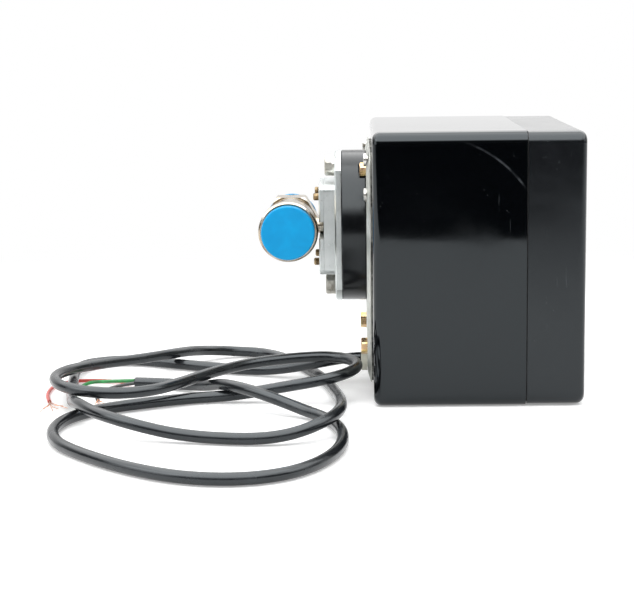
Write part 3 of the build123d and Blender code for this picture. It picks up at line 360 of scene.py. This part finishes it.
# --- metal finishes ------------------------------------------------------------------------------
def base_plate_finish():
    """Zinc-plated sheet, dulled and smeared with dark sealant in scattered patches."""
    finish = Finish("zinc_sheet", (0.55, 0.55, 0.5), 0.42, Metallic=0.55)
    patches = finish.noise(45, 6, 0.62, 0.5)
    colour = finish.ramp(patches, [(0.36, (0.28, 0.29, 0.265)), (0.5, (0.42, 0.43, 0.395)),
                                   (0.62, (0.54, 0.55, 0.515))])
    dark = finish.math("MULTIPLY", finish.spread(finish.noise(210, 5, 0.7), 0.62, 0.72), 0.7)
    finish.colour(finish.blend(dark, colour, (0.16, 0.155, 0.14)))
    finish.rough(finish.spread(patches, 0.3, 0.7, 0.32, 0.6))
    finish.bump(finish.noise(160, 5), 0.00010)
    finish.bump(finish.noise(900, 3), 0.000015)
    paint(finish, "base_plate")


def yellow_zinc_finish():
    """Yellow passivated zinc with its pink and green iridescence."""
    finish = Finish("yellow_zinc", (0.75, 0.56, 0.24), 0.26, Metallic=1.0)
    film = finish.noise(170, 3, 0.6, 0.9)
    finish.colour(finish.ramp(film, [(0.30, (0.58, 0.40, 0.13)), (0.44, (0.66, 0.49, 0.22)),
                                     (0.54, (0.68, 0.44, 0.28)), (0.64, (0.56, 0.51, 0.26)),
                                     (0.76, (0.42, 0.28, 0.11))]))
    finish.rough(finish.spread(finish.noise(420, 4), 0.3, 0.7, 0.18, 0.42))
    finish.bump(finish.noise(700, 3), 0.00001)
    paint(finish, "frame_bolts", "frame_nuts")


def bright_screw_finish():
    """Bright nickel-plated screws, with dirt worked into the surface."""
    finish = Finish("nickel_screw", (0.72, 0.72, 0.71), 0.2, Metallic=1.0)
    stain = finish.noise(380, 4, 0.6, 0.4)
    finish.colour(finish.ramp(stain, [(0.35, (0.36, 0.35, 0.32)), (0.6, (0.58, 0.58, 0.565))]))
    finish.rough(finish.spread(stain, 0.3, 0.7, 0.36, 0.2))
    paint(finish, "lid_screws", "base_plate_screws", "spacer_screws", "switch_screws", "m3_screws",
          "board_posts")


def dull_bolt_finish():
    """Forged hexagon bolts with a beige-grey tarnish, darker in scattered patches."""
    finish = Finish("dull_bolt", (0.55, 0.53, 0.47), 0.38, Metallic=0.9)
    stain = finish.noise(240, 5, 0.6, 0.5)
    finish.colour(finish.ramp(stain, [(0.32, (0.26, 0.24, 0.20)), (0.48, (0.49, 0.475, 0.43)),
                                      (0.66, (0.62, 0.61, 0.575))]))
    finish.rough(finish.spread(stain, 0.3, 0.7, 0.5, 0.28))
    finish.bump(finish.noise(600, 4), 0.00002)
    paint(finish, "flange_bolts", "flange_washers")


def spacer_finish():
    """Black coated aluminium disc with a soft sheen and faint turning marks."""
    finish = Finish("spacer_coat", (0.006, 0.0066, 0.0078), 0.18, IOR=1.4, Specular_Tint=(0.90, 0.97, 1.0, 1))
    cloud = finish.noise(30, 5, 0.6, 0.4)
    rings = finish.noise(1, 3, 0.5, 0.0, finish.stretched((1400, 60, 60)))
    finish.colour(finish.ramp(cloud, [(0.3, (0.002, 0.0023, 0.0028)), (0.8, (0.005, 0.0055, 0.0065))]))
    finish.rough(finish.spread(rings, 0.3, 0.7, 0.16, 0.22))
    finish.bump(rings, 0.000002)
    paint(finish, "spacer_flange")


def aluminium_finish():
    """Machined aluminium plates: fine brushing along Y with a few nicks."""
    finish = Finish("machined_aluminium", (0.55, 0.58, 0.575), 0.3, Metallic=0.92)
    brush = finish.noise(1, 4, 0.6, 0.0, finish.stretched((900, 40, 900)))
    cloud = finish.noise(60, 5, 0.6, 0.4)
    colour = finish.ramp(cloud, [(0.3, (0.46, 0.49, 0.485)), (0.55, (0.55, 0.58, 0.575)),
                                 (0.8, (0.62, 0.645, 0.64))])
    nicks = finish.math("MULTIPLY", finish.spread(finish.noise(330, 4, 0.7), 0.68, 0.74), 0.45)
    finish.colour(finish.blend(nicks, colour, (0.25, 0.26, 0.25)))
    finish.rough(finish.spread(brush, 0.25, 0.75, 0.26, 0.42))
    finish.bump(brush, 0.000006)
    finish.bump(finish.noise(330, 4), 0.00001)
    paint(finish, "adapter_plate", "valve_pad_plate", "retaining_plate")


def valve_finish():
    """Nickel-plated brass: warm grey, with brass showing where the plating is thin."""
    finish = Finish("plated_brass", (0.46, 0.41, 0.34), 0.2, Metallic=1.0)
    patches = finish.noise(70, 5, 0.6, 0.8)
    turning = finish.noise(1, 3, 0.5, 0.0, finish.stretched((60, 1500, 60)))
    finish.colour(finish.ramp(patches, [(0.30, (0.34, 0.24, 0.13)), (0.42, (0.42, 0.35, 0.26)),
                                        (0.58, (0.47, 0.43, 0.37)), (0.74, (0.53, 0.49, 0.44))]))
    finish.rough(finish.spread(turning, 0.3, 0.7, 0.14, 0.32))
    finish.bump(turning, 0.00001)
    paint(finish, "valve_body", "valve_end", "valve_ball")


def brass_finish():
    """Darkened brass of the stem and the pad screws, with ring-shaped thread lines on the tips."""
    finish = Finish("dark_brass", (0.36, 0.26, 0.14), 0.34, Metallic=1.0)
    stain = finish.noise(300, 4, 0.6, 0.5)
    finish.colour(finish.ramp(stain, [(0.34, (0.12, 0.085, 0.05)), (0.5, (0.32, 0.23, 0.13)),
                                      (0.66, (0.52, 0.40, 0.24))]))
    pitch = 0.0007
    along = finish.math("MULTIPLY", finish.coordinate("X"), 2 * math.pi / pitch)
    thread = finish.spread(finish.math("SINE", along), -1, 1, smooth=False)
    finish.rough(finish.spread(stain, 0.3, 0.7, 0.45, 0.28))
    finish.bump(thread, 0.00022)
    paint(finish, "pad_screws", "valve_stem")


def inner_metal_finishes():
    """Plain steel, sintered bronze and the zinc-plated frame and motor can."""
    steel = Finish("machined_steel", (0.56, 0.56, 0.55), 0.28, Metallic=1.0)
    grain = steel.noise(1, 4, 0.6, 0.0, steel.stretched((500, 80, 80)))
    steel.colour(steel.ramp(grain, [(0.3, (0.44, 0.44, 0.43)), (0.7, (0.62, 0.62, 0.61))]))
    steel.rough(steel.spread(grain, 0.3, 0.7, 0.2, 0.38))
    paint(steel, "drive_shaft", "shaft_clips", "output_gear", "stop_pin", "stop_posts", "idler_gear",
          "idler_axle", "motor_pinion", "frame_pillars", "switch_lever_open", "switch_lever_closed")

    bronze = Finish("sintered_bronze", (0.5, 0.34, 0.16), 0.42, Metallic=1.0)
    pores = bronze.noise(900, 3)
    bronze.colour(bronze.ramp(pores, [(0.35, (0.30, 0.20, 0.10)), (0.6, (0.56, 0.39, 0.20))]))
    bronze.bump(pores, 0.00003)
    paint(bronze, "shaft_bush", "rear_bush")

    zinc = Finish("zinc_frame", (0.6, 0.61, 0.61), 0.34, Metallic=0.9)
    spangle = zinc.cells(150)
    zinc.colour(zinc.ramp(spangle, [(0.1, (0.52, 0.53, 0.54)), (0.8, (0.70, 0.71, 0.71))]))
    zinc.rough(zinc.spread(zinc.noise(120), 0.3, 0.7, 0.26, 0.46))
    paint(zinc, "front_gear_plate", "rear_gear_plate", "gear_motor", "switch_bracket")


# --- plastic, rubber and electrical finishes -----------------------------------------------------
def cap_finish():
    """Soft blue moulded plastic, slightly mottled."""
    finish = Finish("blue_cap", (0.0, 0.31, 0.64), 0.42, Subsurface_Weight=0.04, IOR=1.3)
    finish.shader.inputs["Subsurface Radius"].default_value = (0.0004, 0.0008, 0.0016)
    mottle = finish.noise(110, 4, 0.55, 0.4)
    finish.colour(finish.ramp(mottle, [(0.3, (0.0, 0.275, 0.59)), (0.55, (0.0, 0.31, 0.645)),
                                       (0.8, (0.0, 0.345, 0.69))]))
    finish.rough(finish.spread(finish.noise(60, 4), 0.3, 0.7, 0.36, 0.5))
    finish.bump(finish.noise(420, 3), 0.000015)
    paint(finish, "port_cap_near", "port_cap_far")


def small_plastic_finishes():
    """Gland, seat rings, cams, switches and the board's parts."""
    gland = Finish("gland_cream", (0.62, 0.62, 0.53), 0.45)
    gland.colour(gland.ramp(gland.noise(180, 5), [(0.3, (0.50, 0.50, 0.42)), (0.6, (0.66, 0.66, 0.57))]))
    gland.bump(gland.noise(500, 4), 0.00003)
    paint(gland, "cable_gland", "gland_nut")

    for name, colour, roughness, nodes in (
        ("seat_white", (0.82, 0.82, 0.80), 0.4, ["seat_rings"]),
        ("cam_orange", (0.62, 0.16, 0.05), 0.42, ["limit_cam_open", "limit_cam_closed"]),
        ("switch_black", (0.02, 0.02, 0.022), 0.4, ["limit_switches", "board_components"]),
        ("board_green", (0.015, 0.13, 0.05), 0.3, ["circuit_board"]),
        ("terminal_green", (0.05, 0.30, 0.10), 0.42, ["terminal_block"]),
        ("seal_rubber", (0.015, 0.015, 0.015), 0.6, ["stem_o_rings"]),
        ("lead_black", (0.02, 0.02, 0.022), 0.45, ["inner_leads"]),
    ):
        finish = Finish(name, colour, roughness)
        shade = finish.noise(260, 4)
        darker = tuple(value * 0.75 for value in colour)
        finish.colour(finish.ramp(shade, [(0.3, darker), (0.65, colour)]))
        finish.rough(finish.spread(finish.noise(500, 3), 0.3, 0.7, roughness - 0.08, roughness + 0.08))
        finish.bump(finish.noise(900, 3), 0.00001)
        paint(finish, *nodes)


def cable_finish():
    """Semi-gloss black sheath with a fine extruded grain and dusty, rubbed patches."""
    finish = Finish("cable_sheath", (0.010, 0.011, 0.013), 0.25, IOR=1.5, Specular_Tint=(0.90, 0.97, 1.0, 1))
    rubbed = finish.noise(40, 5, 0.62, 0.5)
    finish.colour(finish.ramp(rubbed, [(0.3, (0.006, 0.0068, 0.0080)), (0.6, (0.012, 0.0133, 0.0155)),
                                       (0.8, (0.028, 0.031, 0.035))]))
    finish.rough(finish.spread(rubbed, 0.3, 0.75, 0.17, 0.34))
    finish.bump(finish.noise(700, 3), 0.00002)
    return finish


def core_finish(name, dark, light):
    finish = Finish(name, light, 0.36)
    finish.colour(finish.ramp(finish.noise(240, 3), [(0.3, dark), (0.65, light)]))
    finish.bump(finish.noise(900, 3), 0.00001)
    return finish


def copper_finish():
    finish = Finish("bare_copper", (0.7, 0.34, 0.2), 0.3, Metallic=1.0)
    finish.colour(finish.ramp(finish.noise(500, 3), [(0.3, (0.42, 0.18, 0.10)), (0.65, (0.78, 0.42, 0.27))]))
    return finish


# --- cable ---------------------------------------------------------------------------------------
def smooth_curve(name, points, radius, finish):
    """Round wire along one smooth open spline with these control points."""
    data = bpy.data.curves.new(name, "CURVE")
    data.dimensions = "3D"
    data.resolution_u = 12
    data.bevel_depth = radius
    data.bevel_resolution = 6
    data.use_fill_caps = True
    spline = data.splines.new("NURBS")
    spline.points.add(len(points) - 1)
    for point, place in zip(spline.points, points):
        point.co = (*place, 1)
    spline.order_u = 3
    spline.use_endpoint_u = True
    wire = bpy.data.objects.new(name, data)
    bpy.context.collection.objects.link(wire)
    data.materials.append(finish.material)
    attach(wire, "housing")
    return wire


def make_cable():
    sheath = smooth_curve("cable_sheath", CABLE_ROUTE, CABLE_DIAMETER / 2, cable_finish())
    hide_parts("power_cable")
    colours = {
        "green": ((0.01, 0.14, 0.03), (0.02, 0.30, 0.07)),
        "red": ((0.40, 0.04, 0.03), (0.68, 0.09, 0.07)),
        "black": ((0.012, 0.012, 0.013), (0.03, 0.03, 0.032)),
    }
    for colour, route in CORE_ROUTES.items():
        finish = core_finish(f"core_{colour}_insulation", *colours[colour])
        core = smooth_curve(f"conductor_{colour}", route, CORE_RADIUS, finish)
        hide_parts(f"core_{colour}")
    paint(copper_finish(), "core_strands")


# --- stage ---------------------------------------------------------------------------------------
def make_floor():
    """Pale floor, white far behind; what gloss shows of it ends a little in front of the object."""
    reach, level = 12, -0.0003
    corners = [(-reach, -reach), (reach, -reach), (reach, reach), (-reach, reach)]
    mesh = bpy.data.meshes.new("floor")
    mesh.from_pydata([(x, y, level) for x, y in corners], [], [(0, 1, 2, 3)])
    floor = bpy.data.objects.new("floor", mesh)
    bpy.context.collection.objects.link(floor)
    finish = Finish("floor_paper", (0.86, 0.86, 0.86), 0.9)
    finish.shader.inputs["Emission Color"].default_value = (1, 1, 1, 1)
    finish.shader.inputs["Emission Strength"].default_value = 0.28
    finish.rough(finish.spread(finish.noise(8), 0, 1, 0.85, 0.95))
    dark = finish.nodes.new("ShaderNodeBsdfDiffuse")
    dark.inputs["Color"].default_value = (0.004, 0.005, 0.006, 1)
    white = finish.nodes.new("ShaderNodeEmission")
    white.inputs["Color"].default_value = (1, 1, 1, 1)
    white.inputs["Strength"].default_value = 1.0
    path = finish.nodes.new("ShaderNodeLightPath")
    front = finish.spread(finish.coordinate("Y"), -0.77, -0.755, 1, 0)
    behind = finish.spread(finish.coordinate("Y"), 0.12, 0.5)
    hidden = finish.math("MULTIPLY", path.outputs["Is Glossy Ray"], front)
    bleached = finish.math("MULTIPLY", path.outputs["Is Camera Ray"], behind)
    surface = finish.shader.outputs["BSDF"]
    for share, other in ((hidden, dark.outputs["BSDF"]), (bleached, white.outputs["Emission"])):
        mix = finish.nodes.new("ShaderNodeMixShader")
        finish.links.new(share, mix.inputs["Fac"])
        finish.links.new(surface, mix.inputs[1])
        finish.links.new(other, mix.inputs[2])
        surface = mix.outputs["Shader"]
    finish.links.new(surface, finish.nodes["Material Output"].inputs["Surface"])
    mesh.materials.append(finish.material)


def make_world():
    """White surroundings, darker towards the viewer; gloss also sees a high soft box and a bright back."""
    world = bpy.data.worlds.new("studio")
    bpy.context.scene.world = world
    world.use_nodes = True
    graph = Graph(world.node_tree, "Generated")
    towards_back = graph.coordinate("Y")
    fill = graph.spread(towards_back, -0.6, 0.05, 0.03, 0.9)
    soft_box = graph.spread(graph.coordinate("Z"), 0.34, 0.52, 0.04, SOFT_BOX)
    back = graph.spread(towards_back, 0.2, 0.7, 0.0, BRIGHT_BACK)
    path = graph.nodes.new("ShaderNodeLightPath").outputs
    change = graph.math("SUBTRACT", graph.math("MAXIMUM", soft_box, back), fill)
    shade = graph.math("ADD", fill, graph.math("MULTIPLY", change, path["Is Glossy Ray"]))
    background = graph.nodes["Background"]
    background.inputs["Color"].default_value = (1, 1, 1, 1)
    graph.links.new(graph.math("MAXIMUM", shade, path["Is Camera Ray"]), background.inputs["Strength"])


def soft_light(name, place, target, width, height, power):
    data = bpy.data.lights.new(name, "AREA")
    data.shape = "RECTANGLE"
    data.size = width
    data.size_y = height
    data.energy = power
    light = bpy.data.objects.new(name, data)
    bpy.context.collection.objects.link(light)
    light.location = place
    light.rotation_euler = (Vector(target) - Vector(place)).to_track_quat("-Z", "Y").to_euler()
    light.visible_camera = False


def make_lights():
    centre = (-0.03, 0, 0.07)
    soft_light("overhead", (-0.1, -0.5, 1.15), (-0.05, -0.25, 0), 2.2, 1.8, 26)
    soft_light("left_side", (-1.3, -0.5, 0.6), centre, 0.9, 0.9, 6)
    soft_light("right_side", (1.4, -0.2, 0.7), centre, 0.9, 0.9, 4)


make_camera()
make_cable()
housing_finish()
lid_finish()
gasket_finishes()
base_plate_finish()
yellow_zinc_finish()
bright_screw_finish()
dull_bolt_finish()
spacer_finish()
aluminium_finish()
valve_finish()
brass_finish()
inner_metal_finishes()
cap_finish()
small_plastic_finishes()
make_floor()
make_world()
make_lights()
bpy.context.scene.view_settings.view_transform = "Standard"
